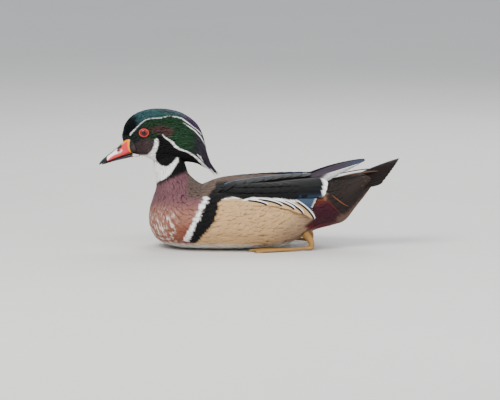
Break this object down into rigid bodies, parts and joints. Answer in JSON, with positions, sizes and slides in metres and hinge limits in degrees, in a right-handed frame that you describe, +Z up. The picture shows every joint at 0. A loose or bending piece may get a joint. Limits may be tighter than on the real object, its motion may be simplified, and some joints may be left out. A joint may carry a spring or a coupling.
{
  "type": "wood duck drake model",
  "caption": "Life-size model of a wood duck drake resting on its belly as if swimming, with folded wings, a swept crest and a cocked tail.",
  "frame": {"origin": "centre of the bounding box in X and Y, on the plane the belly rests on", "axes": "+Z up, -X towards the bill, -Y towards the bird's left side"},
  "size_m": [0.3596, 0.1372, 0.1663],
  "materials": {
    "crown": "iridescent green and black feathers",
    "crest": "iridescent green and purple feathers",
    "neck": "purple-chestnut feathers",
    "body": "feathers",
    "rump": "dark maroon and black feathers",
    "wing": "glossy black and blue feathers",
    "tail": "black feathers with a bronze sheen",
    "bill": "satin horn",
    "jaw": "satin horn",
    "eye": "glossy",
    "foot": "scaly skin"
  },
  "bodies": {
    "root": {"head": "crown", "crest": "crest", "neck": "neck", "torso": "body", "rump": "rump", "bill_upper": "bill", "bill_lower": "jaw", "eye_left": "eye", "eye_right": "eye", "wing_left": "wing", "wing_right": "wing", "tail": "tail", "leg_left": "foot", "leg_right": "foot", "foot_left": "foot", "foot_right": "foot"}
  },
  "joints": []
}
